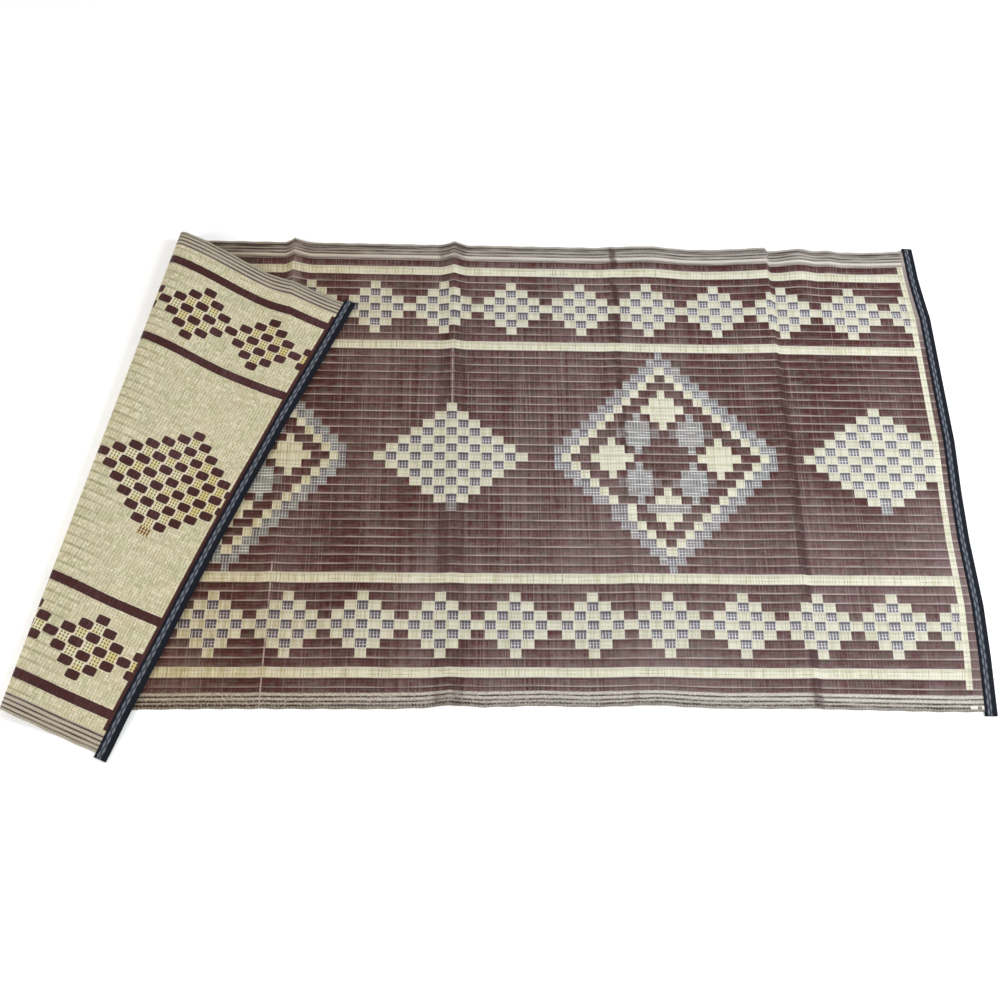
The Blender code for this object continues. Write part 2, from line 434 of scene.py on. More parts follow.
def chain_field(step, row):
    """A chain of small chequered diamonds that share their end fields."""
    step = min(step % (2 * CHAIN_REACH), -step % (2 * CHAIN_REACH))
    if step + abs(row) > CHAIN_REACH:
        return None
    return CELL if (step + row) % 2 == 1 else MIXED


# middle, width of a step in straws, rule
FIELD_MOTIFS = (
    *((middle, 4, chequer_field) for middle in CHEQUERS),
    *((middle, 3, ringed_field) for middle in RINGED),
)
print("the first motif's middle shows", chequer_field(0, 0))

# %% Chart the whole mat


def border_field(straw, row):
    """Stripes, the end lines and the selvedges; nothing where a motif may stand."""
    if abs(row) > BROWN_EDGE:
        return BROWN
    if straw > LAST_STRAW:
        return CREAM if straw < LAST_STRAW + END_LINE else BROWN
    if straw < FIRST_STRAW:
        return CREAM if straw > FIRST_STRAW - END_LINE else BROWN
    for edge in (FIELD_EDGE, BAND_EDGE):
        if edge < abs(row) < edge + 1:
            return CREAM
    return BROWN if abs(row) > BAND_EDGE else None


def chart(straw, row):
    """What the patterned face shows at this place, and the middle and width of the motif's step there."""
    field = border_field(straw, row)
    if field:
        return field, None
    motifs = FIELD_MOTIFS
    if abs(row) > FIELD_EDGE:
        motifs = ((CHAIN_START, 4, chain_field),)
        row = math.copysign(abs(row) - BAND_MIDDLE, row)
    for middle, width, rule in motifs:
        step = round((straw - middle) / width)
        field = rule(step, round(row), slips=True) if middle == RINGED[1] else rule(step, round(row))
        if field:
            return field, (middle + step * width, width)
    return BROWN, None


def strength(field):
    """Brown straws press over cream ones beside them, and cream ones over mixed ones."""
    if field == BROWN:
        return 2
    return 1 if field[0] else 0


def face_chart(straw, row):
    """What shows on top, where the stronger field on the left hides half a straw of the next."""
    field, step = chart(straw, row)
    left = chart(straw - 0.5, row)[0]
    if step and strength(left) > strength(field) and abs(row) <= BAND_EDGE:
        return left
    return field


print("the middle shows", chart(0.5, 0), "and the right ring's middle shows", chart(71.5, 0))

# %% [markdown]
# ## The cloth
#
# Every straw could be a strip of its own, but their relief is a fraction of a millimetre, so one sheet with
# colour and bump shows the same with far fewer faces. It starts as a grid primitive whose lines are the
# rows and half straws, so each face is half a straw wide and reaches from one binding thread to the next.
# It carries its chart field as an attribute, and three maps: the weave's own counts, the place within a
# motif's step, and later a bake map that lays both faces on one square. Solidify gives the sheet its
# thickness and marks the underside with the second material.

# %% A sheet that starts as a grid


def grid_sheet(columns, rows):
    """A grid in a new bmesh, and the column and row line of each corner."""
    sheet = bmesh.new()
    bmesh.ops.create_grid(sheet, x_segments=columns, y_segments=rows, size=0.5)
    lines = {}
    for corner in sheet.verts:
        lines[corner] = (round((corner.co.x + 0.5) * columns), round((corner.co.y + 0.5) * rows))
    return sheet, lines


def finished_sheet(sheet, name, thickness, underside_material=0):
    """The sheet as an object with its thickness, half on each side."""
    mesh = bpy.data.meshes.new(name)
    sheet.to_mesh(mesh)
    sheet.free()
    mesh.shade_smooth()
    piece = bpy.data.objects.new(name, mesh)
    bpy.context.scene.collection.objects.link(piece)
    solid = piece.modifiers.new("thickness", "SOLIDIFY")
    solid.thickness = thickness
    solid.offset = 0.0
    solid.use_even_offset = True
    solid.material_offset = underside_material
    bpy.ops.object.select_all(action="DESELECT")
    piece.select_set(True)
    bpy.context.view_layer.objects.active = piece
    return piece, solid


END_STRAWS = (-167.7, 169.3)
INNER_HALVES = range(-334, 338)
STRAW_LINES = [END_STRAWS[0]] + [half / 2 for half in INNER_HALVES] + [END_STRAWS[1]]
ROW_LINES = [LAST_ROW - line for line in range(int(2 * LAST_ROW) + 1)]
print("grid", len(STRAW_LINES), "by", len(ROW_LINES), "lines")

# %% Weave the cloth
LOOP_DEPTH = 0.0009
EDGE_WAVE = 0.0004
EDGE_WAVE_PACE = 0.71


def flat_place(column, row_line):
    """Along and across place of a grid corner. At the long edges the straws turn back in small loops."""
    straw, row = STRAW_LINES[column], ROW_LINES[row_line]
    across = row_place(row)
    if abs(row) == LAST_ROW:
        loop = LOOP_DEPTH if straw == round(straw) else 0.0
        across -= math.copysign(loop + EDGE_WAVE * (1 + math.sin(straw * EDGE_WAVE_PACE + row)), across)
    if column in (0, len(STRAW_LINES) - 1):
        return math.copysign(CLOTH_HALF_LENGTH, straw), across
    return straw_place(straw, across), across


def weave_cloth():
    columns, rows = len(STRAW_LINES) - 1, len(ROW_LINES) - 1
    sheet, lines = grid_sheet(columns, rows)
    weave_map = sheet.loops.layers.uv.new("weave")
    step_map = sheet.loops.layers.uv.new("step")
    shown = sheet.faces.layers.float_vector.new("field")
    below = sheet.faces.layers.float_vector.new("under_field")
    for face in sheet.faces:
        straws = [STRAW_LINES[lines[corner][0]] for corner in face.verts]
        middle_row = sum(ROW_LINES[lines[corner][1]] for corner in face.verts) / 4
        face[shown] = face_chart(sum(straws) / 4, middle_row)
        face[below], step = chart(sum(straws) / 4, middle_row)
        for loop in face.loops:
            column, row_line = lines[loop.vert]
            loop[weave_map].uv = (STRAW_LINES[column], ROW_LINES[row_line])
            share = (STRAW_LINES[column] - step[0]) / step[1] if step else 0.0
            loop[step_map].uv = (share, 0.0)
    for corner in sheet.verts:
        corner.co = mat_point(*flat_place(*lines[corner]))
    return finished_sheet(sheet, "mat_weave", CLOTH_THICKNESS, underside_material=1)


cloth, cloth_solid = weave_cloth()
print("woven sheet", len(cloth.data.vertices), "corners", len(cloth.data.polygons), "fields")

# %% [markdown]
# ## Shader helpers
#
# A weave is mostly arithmetic on the straw and row counts, so a few small helpers keep the node trees
# readable. They add a product, a sum, a soft step, a mix of two colours, tints laid over a colour in turn,
# or blotches that are stretched along the straws. Each gives back a socket, which the next one takes.

# %% Helpers for node materials


def new_material(name, roughness, gloss):
    material = bpy.data.materials.new(name)
    material.use_nodes = True
    shader = material.node_tree.nodes["Principled BSDF"]
    shader.inputs["Roughness"].default_value = roughness
    shader.inputs["Specular IOR Level"].default_value = gloss
    return material, material.node_tree, shader


def add_node(tree, kind, inputs=None, **settings):
    node = tree.nodes.new(kind)
    for name, value in settings.items():
        setattr(node, name, value)
    for name, value in (inputs or {}).items():
        if isinstance(value, bpy.types.NodeSocket):
            tree.links.new(value, node.inputs[name])
        else:
            node.inputs[name].default_value = value
    return node


def tree_of(*values):
    """A socket knows its node tree, so the helpers below aren't told which one they work on."""
    return next(value.id_data for value in values if isinstance(value, bpy.types.NodeSocket))


def calc(operation, *values):
    inputs = dict(enumerate(values))
    return add_node(tree_of(*values), "ShaderNodeMath", inputs, operation=operation).outputs[0]


def chained(operation, values):
    """The values, taken in turn by one operation."""
    result = values[0]
    for value in values[1:]:
        result = calc(operation, result, value)
    return result


def product(*values):
    return chained("MULTIPLY", values)


def total(*values):
    return chained("ADD", values)


def largest(*values):
    return chained("MAXIMUM", values)


def distance(value, place):
    return calc("ABSOLUTE", calc("SUBTRACT", value, place))


print("node helpers ready")

# %% Helpers for steps, colours and noise


def soft_step(value, start, end, before=0.0, after=1.0):
    """A smooth change from one number to another while the value goes from its start to its end."""
    inputs = {"Value": value, "From Min": start, "From Max": end, "To Min": before, "To Max": after}
    node = add_node(tree_of(value), "ShaderNodeMapRange", inputs, interpolation_type="SMOOTHSTEP")
    return node.outputs["Result"]


def mixed_colour(share, first, second):
    """The first colour where the share is 0, and the second where it is 1."""
    inputs = {0: share}
    for place, colour in ((6, first), (7, second)):
        inputs[place] = colour if isinstance(colour, bpy.types.NodeSocket) else (*colour, 1.0)
    return add_node(tree_of(share), "ShaderNodeMix", inputs, data_type="RGBA").outputs[2]


def layered(colour, *layers):
    """Tints laid over a colour in turn; the product of a layer's shares says how much of it shows."""
    for tint, *shares in layers:
        colour = mixed_colour(product(*shares), colour, tint)
    return colour


def blotches(x, y, x_step, y_step, seed=0.0, detail=1.0):
    """Noise that changes faster where a step is longer; over 2, each whole count has its own value."""
    place = {"X": product(x, x_step), "Y": product(y, y_step), "Z": seed}
    vector = add_node(tree_of(x), "ShaderNodeCombineXYZ", place).outputs[0]
    inputs = {"Vector": vector, "Scale": 1.0, "Detail": detail}
    return add_node(tree_of(x), "ShaderNodeTexNoise", inputs).outputs["Fac"]


print("colour helpers ready")

# %% [markdown]
# ## Counts in the shader
#
# The patterned face and the underside share these counts. They say how far a point is from the nearest
# whole straw, from the binding thread between two rows and from the two fainter threads within a row, and
# how far down its row it lies.

# %% Read the weave's counts


def weave_counts(tree, chart_name):
    """Sockets that both faces of the cloth read."""
    weave = add_node(tree, "ShaderNodeUVMap", uv_map="weave").outputs[0]
    split = add_node(tree, "ShaderNodeSeparateXYZ", {0: weave})
    field = add_node(tree, "ShaderNodeAttribute", attribute_name=chart_name).outputs["Vector"]
    shares = add_node(tree, "ShaderNodeSeparateXYZ", {0: field})
    straw, row = split.outputs[0], split.outputs[1]
    shifted = total(row, 0.5)
    thirds = product(shifted, 3.0)
    halves = product(straw, 2.0)
    return SimpleNamespace(
        straw=straw,
        row=row,
        from_middle=calc("ABSOLUTE", row),
        down=calc("FRACT", shifted),
        thread_number=calc("ROUND", shifted),
        third_number=calc("ROUND", thirds),
        half_number=calc("FLOOR", halves),
        straw_number=calc("FLOOR", total(straw, 0.5)),
        from_straw=calc("PINGPONG", straw, 0.5),
        from_half=calc("PINGPONG", halves, 0.5),
        from_thread=calc("PINGPONG", shifted, 0.5),
        from_third=calc("PINGPONG", thirds, 0.5),
        cream=shares.outputs[0],
        mixed=shares.outputs[1],
        pale=shares.outputs[2],
    )


print("counts ready")

# %% Find the marks that both faces share


def common_marks(count):
    """Grooves between straws, the seams where the lower straw peeps through, and the binding threads. Below
    each thread a painted shadow fills its hollow, and before the next thread a lighter rise is partly painted
    highlight.
    """
    thread_noise = blotches(count.straw, count.thread_number, 0.06, 3.7, 1.0, 2.0)
    third_noise = blotches(count.straw, count.third_number, 0.12, 3.3, 5.0, 2.0)
    peep_noise = blotches(count.straw_number, count.row, 5.3, 0.10, 9.0)
    rise_noise = blotches(count.straw, count.thread_number, 0.15, 3.1, 15.0, 2.0)
    # Painted shadow in the hollow just below each thread. The lighter rise before the next thread is partly
    # painted highlight and partly the weave.
    thread_shadow = product(soft_step(count.down, 0.04, 0.12), soft_step(count.down, 0.22, 0.40, 1.0, 0.0))
    rise = product(soft_step(count.down, 0.55, 0.98), soft_step(rise_noise, 0.35, 0.65))
    outer = soft_step(count.row, 22.0, 24.0)
    faint = product(outer, soft_step(count.straw, -70.0, 10.0, 0.55, -0.10))
    thread_share = soft_step(thread_noise, 0.36, 0.62, 0.30, 1.0)
    return SimpleNamespace(
        groove=soft_step(count.from_half, 0.03, 0.20, 1.0, 0.0),
        seam=soft_step(count.from_straw, 0.05, 0.14, 1.0, 0.0),
        peep=soft_step(peep_noise, 0.50, 0.66),
        thread=soft_step(count.from_thread, 0.040, 0.105, 1.0, 0.0),
        thread_share=product(thread_share, calc("SUBTRACT", 1.0, faint)),
        third=soft_step(count.from_third, 0.08, 0.22, 1.0, 0.0),
        third_share=soft_step(third_noise, 0.40, 0.62),
        thread_shadow=thread_shadow,
        rise=rise,
    )


print("marks ready")

# %% Give each straw its tone
GREYEST_STRAW = 30


def centred(noise, share):
    return product(calc("SUBTRACT", noise, 0.5), share)


def straw_tone(count):
    """Each straw has its own tone, which changes along it; the middle of the mat is the greyest."""
    fine = blotches(count.half_number, count.row, 3.7, 0.09)
    short = blotches(count.half_number, count.third_number, 3.1, 1.3, 20.0)
    broad = blotches(count.straw, count.row, 0.055, 0.05, 4.0, 2.0)
    from_grey = distance(count.straw, GREYEST_STRAW)
    right = soft_step(count.straw, 10.0, 80.0)
    tone = total(
        soft_step(from_grey, 10.0, 90.0, 0.525, 0.415),
        product(right, soft_step(count.row, 0.0, 10.0, 0.0, 0.10)),
        centred(broad, 0.42),
        centred(short, 0.28),
        centred(fine, soft_step(from_grey, 10.0, 90.0, 0.58, 0.28)),
    )
    return soft_step(tone, 0.36, 0.66)


print("tones ready")

# %% [markdown]
# ## The patterned face
#
# In a brown field the brown straws lie on top. Their colour runs from red-brown to grey, cream straws peep
# through at some seams, and a hollow follows each binding thread, painted dark as its shadow. A brown straw
# is painted lighter where it rises towards the next thread, partly as highlight and partly as the weave. In a
# cream field the cream straws lie on top. In a mixed one both lie side by side, so dark bars alternate with
# pale ones. The straws could be painted one by one. Here each kind of field has a short function, and the
# chart's shares lay one over the other, so a single value changes a tint all over the mat. Towards the folded
# end the whole face is painted darker and warmer as shade.

# %% Colours of the straws, linear
RED_BROWN = (0.068, 0.019, 0.016)
GREY_BROWN = (0.185, 0.125, 0.118)
BLACK_BROWN = (0.026, 0.011, 0.009)
PEEP = (0.330, 0.285, 0.265)
THREAD_PINK = (0.470, 0.395, 0.375)
MOSS = (0.098, 0.094, 0.072)
WINE = (0.120, 0.036, 0.044)
CREAM_WARM = (0.570, 0.550, 0.390)
# Painted shade: the darker, yellower cream towards the folded end.
CREAM_IN_SHADE = (0.420, 0.362, 0.160)
CREAM_ROSE = (0.720, 0.660, 0.580)
CREAM_LIGHT = (0.715, 0.715, 0.560)
CREAM_SHADE = (0.200, 0.185, 0.110)
CREAM_THREAD = (0.750, 0.740, 0.630)
LAVENDER = (0.455, 0.425, 0.455)
LAVENDER_WORN = (0.610, 0.600, 0.610)
INDIGO = (0.056, 0.049, 0.058)
PLUM = (0.112, 0.088, 0.096)
INDIGO_WORN = (0.134, 0.130, 0.143)
# Painted shadow below the threads in mixed fields.
MIXED_THREAD_SHADOW = (0.040, 0.036, 0.044)
PALE_TEAL = (0.205, 0.235, 0.218)
PALE_ROSE = (0.270, 0.232, 0.230)
PALE_THREAD = (0.740, 0.745, 0.725)
print("straw colours ready")

# %% Colour each kind of field


def brown_field(count, marks, tone):
    tint = blotches(count.straw, count.third_number, 0.20, 1.7, 19.0, 2.0)
    return layered(
        mixed_colour(tone, RED_BROWN, GREY_BROWN),
        (MOSS, soft_step(tint, 0.48, 0.70, 0.0, 0.60)),
        (WINE, soft_step(tint, 0.30, 0.50, 0.55, 0.0)),
        (BLACK_BROWN, marks.groove, 0.26),
        (PEEP, marks.seam, marks.peep, 0.50),
        (PEEP, marks.third, marks.third_share, 0.16),
        # Painted lighter where the straw rises to the next thread, partly as highlight.
        (PEEP, marks.rise, 0.30),
        # Painted shadow in the hollow below each thread.
        (BLACK_BROWN, marks.thread_shadow, 0.42),
        (THREAD_PINK, marks.thread, marks.thread_share, 0.72),
    )


def cream_field(count, marks):
    """Cream straws, streakier towards the folded end. There they are painted darker and yellower as shade,
    and towards the flat end a little lighter as painted light.
    """
    fine = blotches(count.half_number, count.row, 3.9, 0.12, 2.0)
    patch = blotches(count.straw, count.row, 0.25, 0.6, 13.0)
    # Painted light and shade: the cream grows a little lighter towards the flat end, and darker and yellower
    # towards the folded end.
    drift = soft_step(count.straw, -130.0, 60.0, 0.45, 0.52)
    light = soft_step(total(centred(fine, 0.75), centred(patch, 0.25), drift), 0.36, 0.60)
    warm = mixed_colour(soft_step(count.straw, -130.0, 0.0), CREAM_IN_SHADE, CREAM_WARM)
    rose = blotches(count.straw_number, count.thread_number, 1.3, 1.9, 21.0)
    streaky = soft_step(count.straw, -120.0, 20.0, 0.36, 0.18)
    return layered(
        mixed_colour(light, warm, CREAM_LIGHT),
        (CREAM_ROSE, soft_step(rose, 0.50, 0.64, 0.0, 0.50)),
        (CREAM_SHADE, marks.seam, total(product(marks.peep, 0.55), streaky)),
        (CREAM_SHADE, marks.third, marks.third_share, 0.42),
        # Painted shadow in the hollow below each thread.
        (CREAM_SHADE, marks.thread_shadow, 0.26),
        (CREAM_THREAD, marks.thread, marks.thread_share, 0.55),
    )


def mixed_field(count, marks, tone):
    """Dark bars and pale lines, which fade towards the flat end."""
    worn = soft_step(count.straw, -90.0, 135.0)
    pale = mixed_colour(worn, LAVENDER, LAVENDER_WORN)
    dark = mixed_colour(worn, mixed_colour(tone, INDIGO, PLUM), INDIGO_WORN)
    patch = blotches(count.straw_number, count.thread_number, 0.35, 3.3, 22.0)
    lower = soft_step(count.down, 0.12, 0.55, 0.35, 1.0)
    bar = soft_step(count.from_straw, 0.08, 0.22)
    return layered(
        mixed_colour(largest(bar, calc("SUBTRACT", 1.0, lower)), pale, dark),
        (pale, marks.third, lower, soft_step(patch, 0.36, 0.66, 0.20, 0.95)),
        # Painted shadow in the hollow below each thread.
        (MIXED_THREAD_SHADOW, marks.thread_shadow, 0.50),
        (THREAD_PINK, marks.thread, 0.22),
    )


def pale_field(count, marks, tone):
    """Washed-out straws: some show dark stretches, and white threads cross them in both directions."""
    stretch = blotches(count.straw_number, count.thread_number, 4.9, 4.3, 18.0)
    bar = product(soft_step(count.from_straw, 0.14, 0.28), soft_step(stretch, 0.44, 0.62))
    threads = (
        product(marks.seam, total(product(marks.peep, 0.5), 0.5)),
        product(marks.third, marks.third_share),
        product(marks.thread, marks.thread_share),
    )
    return layered(
        mixed_colour(tone, PALE_TEAL, PALE_ROSE),
        (PLUM, bar, soft_step(count.down, 0.45, 0.85, 0.60, 0.20)),
        (PALE_THREAD, largest(*threads), 0.90),
    )


print("fields ready")

# %% [markdown]
# ## Selvedges and creases
#
# Past the last brown row the straws lie closer, and dark and pale ones make lines that differ between the
# two long edges. These could be thin strips of their own, but the weave runs on into them without a seam,
# so they are colours of the same cloth. A colour ramp lays them out from the inside to the edge. The straws
# of the near edge are loose, so their turns break its lines up. Towards the folded end the selvedges are
# painted darker as shade. The packing creases are worn pale on their crests. Beside them a dark paint stands
# for the shade in the folds, and in part for darker straws.

# %% Set out the lines of the selvedges and the marks of the creases
SELVEDGE_PALE = (0.690, 0.645, 0.570)
SELVEDGE_DARK = (0.050, 0.034, 0.030)
SELVEDGE_SHADE = (0.230, 0.200, 0.175)
NEAR_SELVEDGE_ROW, FAR_SELVEDGE_ROW, UNDER_SELVEDGE_ROW = 26.22, 25.50, 26.02
FAR_LOOSE, UNDER_LOOSE = 0.15, 0.20

# row, darkness
NEAR_SELVEDGE = (
    (26.24, 0.70), (26.34, 0.30), (26.44, 0.05), (26.60, 0.08), (26.70, 0.60),
    (26.80, 1.00), (26.90, 0.75), (27.00, 0.22), (27.12, 0.05), (27.24, 0.25),
    (27.36, 0.70), (27.46, 1.00), (27.58, 0.65), (27.72, 0.20), (27.82, 0.40),
    (27.94, 0.95), (28.10, 0.80), (28.24, 0.50), (28.42, 0.40),
)
FAR_SELVEDGE = (
    (25.55, 0.72), (25.72, 0.60), (25.92, 0.35), (26.10, 0.02), (26.26, 0.05),
    (26.38, 0.65), (26.50, 0.85), (26.62, 0.60), (26.80, 0.40), (26.94, 0.75),
    (27.08, 0.90), (27.24, 0.55), (27.40, 0.50), (27.54, 0.85), (27.68, 0.70),
    (27.82, 0.75), (27.98, 1.00), (28.16, 0.45), (28.36, 0.05),
)
UNDER_SELVEDGE = (
    (26.02, 0.00), (26.14, 0.30), (26.26, 1.00), (26.38, 0.55), (26.50, 0.15),
    (26.66, 0.08), (26.78, 0.40), (26.90, 0.95), (27.02, 0.45), (27.12, 0.10),
    (27.28, 0.10), (27.40, 0.60), (27.52, 0.95), (27.64, 0.35), (27.76, 0.08),
    (27.90, 0.15), (28.04, 0.85), (28.16, 0.50), (28.30, 0.05),
)
# Dark marks beside the creases: painted shade in the folds, in part darker straws.
CREASE_SHADE = (0.040, 0.013, 0.011)

# straw, first_row, last_row, reach, strength (a negative one is dark: painted shade in the fold, in part
# darker straws)
CREASE_MARKS = (
    (-57.0, -28, -22, 3.0, 0.22),
    (-56.9, 13, 28, 0.32, 0.90),
    (-2.4, -28, 28, 3.2, -0.50),
    (2.8, -28, 28, 3.4, -0.42),
    (0.4, -14, -6, 0.45, 0.60),
    (57.9, -28, 0, 1.8, -0.72),
    (57.9, 1, 28, 1.6, -0.28),
    (114.1, -14, 28, 2.6, -0.65),
    (117.0, -13, 13, 0.45, 0.14),
)
print("selvedge lines", len(NEAR_SELVEDGE), len(FAR_SELVEDGE), len(UNDER_SELVEDGE))

# %% Colour the selvedges and the creases


def selvedge_lines(count, lines, loose):
    """Darkness of the lines along one edge, outwards from the last brown row. Loose straws turn a little."""
    reach = LAST_ROW - BROWN_EDGE
    turn = blotches(count.half_number, count.straw_number, 3.3, 0.0, 23.0)
    place = total(count.from_middle, product(centred(turn, 0.17), loose))
    share = calc("DIVIDE", calc("SUBTRACT", place, BROWN_EDGE), reach)
    node = add_node(tree_of(share), "ShaderNodeValToRGB", {"Fac": share})
    stops = node.color_ramp.elements
    while len(stops) < len(lines):
        stops.new(1.0)
    for stop, (row, darkness) in zip(stops, lines):
        stop.position = (row - BROWN_EDGE) / reach
        stop.color = (darkness, darkness, darkness, 1.0)
    return node.outputs["Color"]


def with_selvedge(count, marks, lines, first_row, pale, loose, colour):
    """Lay the lines and the seams across them. Where the straws are loose, their turns break the lines."""
    gaps = blotches(count.half_number, count.from_middle, 4.7, 2.2, 6.0)
    turned = soft_step(count.from_straw, 0.04, 0.20, 0.28, 0.0)
    hidden = total(soft_step(gaps, 0.34, 0.50, 0.42, -0.08), turned)
    fading = blotches(count.straw, count.from_middle, 0.09, 4.0, 26.0)
    whole = largest(loose, soft_step(fading, 0.35, 0.60, 0.80, 1.15))
    lines = product(lines, whole, calc("SUBTRACT", 1.0, product(hidden, loose)))
    patch = blotches(count.half_number, count.from_middle, 3.7, 4.6, 27.0)
    shade = product(soft_step(patch, 0.38, 0.64, 0.0, 0.62), loose)
    pale = mixed_colour(shade, pale, SELVEDGE_SHADE)
    seams = product(marks.seam, soft_step(gaps, 0.40, 0.60, 0.40, 0.14))
    # Painted shade: the selvedge grows darker towards the folded end.
    end_shade = soft_step(count.straw, -110.0, 20.0, 0.16, 0.0)
    darkness = total(largest(lines, seams), end_shade)
    edge = mixed_colour(darkness, pale, SELVEDGE_DARK)
    outside = calc("GREATER_THAN", count.from_middle, first_row)
    return layered(colour, (edge, outside))


# Pale marks on the crests are worn plastic. Dark marks beside them are painted shade in the folds, in part
# darker straws.
def with_creases(count, colour):
    wobble = centred(blotches(count.thread_number, count.row, 3.7, 0.0, 7.0), 2.0)
    wear_and_shade = soft_step(blotches(count.row, count.straw, 0.9, 0.2, 8.0), 0.32, 0.55, 0.35, 1.0)
    washed = largest(count.cream, product(count.mixed, 0.75))
    dyed = calc("SUBTRACT", 1.0, washed)
    for straw, first_row, last_row, reach, strength in CREASE_MARKS:
        place = total(count.straw, wobble) if strength < 0 else count.straw
        beside = soft_step(distance(place, straw), reach * 0.3, reach, abs(strength), 0.0)
        middle, half = (first_row + last_row) / 2, (last_row - first_row) / 2
        within = soft_step(distance(count.row, middle), half, half + 1, 1.0, 0.0)
        tint = THREAD_PINK if strength > 0 else CREASE_SHADE
        colour = layered(colour, (tint, beside, wear_and_shade, dyed, within))
    return colour


print("crease marks", len(CREASE_MARKS))

# %% Put the patterned face together
RELIEF = 0.0005
RELIEF_STRENGTH = 0.45
CREAM_ENDS = ((163.8, 27.9), (167.3, 27.9))
CREAM_END_HALF_WIDTH, CREAM_END_HALF_HEIGHT = 1.1, 0.24
# Painted shade: the face is multiplied by the first tint at the folded end, and by the second, nearly white,
# at the flat end.
FOLDED_END_SHADE = (0.850, 0.728, 0.575)
FLAT_END_TINT = (1.010, 1.000, 1.010)


def add_relief(tree, shader, marks):
    """Rounded straws, drawn down where the threads bind them."""
    height = total(product(marks.groove, 0.5), marks.thread, product(marks.third, 0.35))
    inputs = {"Height": height, "Strength": RELIEF_STRENGTH, "Distance": RELIEF}
    bump = add_node(tree, "ShaderNodeBump", inputs, invert=True)
    tree.links.new(bump.outputs["Normal"], shader.inputs["Normal"])


def with_worn_end(count, colour):
    """The strip beside the tape of the flat end is worn pale, most of all at its far end."""
    strip = calc("GREATER_THAN", count.straw, LAST_STRAW + END_LINE)
    colour = layered(colour, (PEEP, strip, soft_step(count.row, -19.0, -13.0, 0.75, 0.15)))
    for straw, row in CREAM_ENDS:
        beside = calc("LESS_THAN", distance(count.straw, straw), CREAM_END_HALF_WIDTH)
        below = calc("LESS_THAN", distance(count.row, row), CREAM_END_HALF_HEIGHT)
        colour = layered(colour, (CREAM_THREAD, beside, below))
    return colour


def with_folded_end_shade(count, colour):
    """Painted shade: the colour is multiplied darker and warmer towards the folded end."""
    drift = soft_step(count.straw, -140.0, 50.0)
    inputs = {0: 1.0, 6: colour, 7: mixed_colour(drift, FOLDED_END_SHADE, FLAT_END_TINT)}
    node = add_node(tree_of(colour), "ShaderNodeMix", inputs, data_type="RGBA", blend_type="MULTIPLY")
    return node.outputs[2]


def make_patterned_face():
    material, tree, shader = new_material("mat_patterned_face", roughness=0.50, gloss=0.11)
    count = weave_counts(tree, "field")
    marks = common_marks(count)
    tone = straw_tone(count)
    colour = layered(
        brown_field(count, marks, tone),
        (cream_field(count, marks), count.cream),
        (mixed_field(count, marks, tone), count.mixed),
        (pale_field(count, marks, tone), count.pale),
    )
    near = calc("GREATER_THAN", count.row, 0.0)
    near_loose = soft_step(count.straw, -100.0, 130.0, 0.80, 0.45)
    loose = total(product(near, near_loose), FAR_LOOSE)
    far_lines = selvedge_lines(count, FAR_SELVEDGE, loose)
    near_lines = selvedge_lines(count, NEAR_SELVEDGE, loose)
    lines = mixed_colour(near, far_lines, near_lines)
    first_row = total(FAR_SELVEDGE_ROW, product(near, NEAR_SELVEDGE_ROW - FAR_SELVEDGE_ROW))
    colour = with_selvedge(count, marks, lines, first_row, SELVEDGE_PALE, loose, colour)
    colour = with_worn_end(count, colour)
    colour = with_folded_end_shade(count, with_creases(count, colour))
    tree.links.new(colour, shader.inputs["Base Color"])
    add_relief(tree, shader, marks)
    return material


patterned_face = make_patterned_face()
print("patterned face", len(patterned_face.node_tree.nodes), "nodes")

# %% [markdown]
# ## The underside
#
# Underneath, the weave is turned round: what is brown above is beige here, with a fine net of threads, and
# what is cream above shows as brown steps with rounded corners. Mixed steps are pale or yellow with a net
# of dark holes. Beside the fold the bent rows stand apart, and the gaps between them are painted dark as
# shade, so they show as ribs. One material could serve both faces, but only the counts, marks and tones are
# alike, so the underside has its own.

# %% Colours of the underside, linear
BEIGE_GREEN = (0.500, 0.480, 0.293)
BEIGE_WARM = (0.585, 0.515, 0.342)
BEIGE_THREAD = (0.820, 0.755, 0.590)
OLIVE = (0.120, 0.110, 0.045)
UNDER_RED = (0.055, 0.017, 0.015)
UNDER_PLUM = (0.120, 0.056, 0.066)
UNDER_EDGE = (0.046, 0.028, 0.018)
EDGE_ROSE = (0.700, 0.600, 0.500)
STRAW_YELLOW = (0.630, 0.520, 0.215)
UNDER_PALE = (0.700, 0.650, 0.430)
UNDER_ROSE = (0.650, 0.580, 0.450)
YELLOW_END = (-146.0, -155.0)
print("underside colours ready")

# %% Colour the underside's fields
FOLD_STRAW = FOLD_PLACE / STRAW_PITCH
FOLD_STRAWS_A_ROW = ROW_HEIGHT * math.tan(FOLD_LEAN) / STRAW_PITCH


def net_of_dots(count, wide, tall):
    """Holes beside each straw, one between every two threads; sizes are in straws and thirds of a row."""
    beside = calc("DIVIDE", calc("PINGPONG", count.straw, 0.5), wide)
    below = calc("DIVIDE", calc("SUBTRACT", 0.5, count.from_third), tall)
    far = calc("SQRT", total(product(beside, beside), product(below, below)))
    return soft_step(far, 0.5, 1.0, 1.0, 0.0)


def rib_shade_at_fold(count):
    """Painted shade in the gaps where bent rows stand apart beside the fold, whose straw count changes with
    the row because it leans.
    """
    level = total(count.straw, product(count.row, FOLD_STRAWS_A_ROW))
    beside = soft_step(distance(level, FOLD_STRAW), 4.0, 24.0, 0.52, 0.0)
    return product(beside, soft_step(distance(count.down, 0.5), 0.34, 0.47))


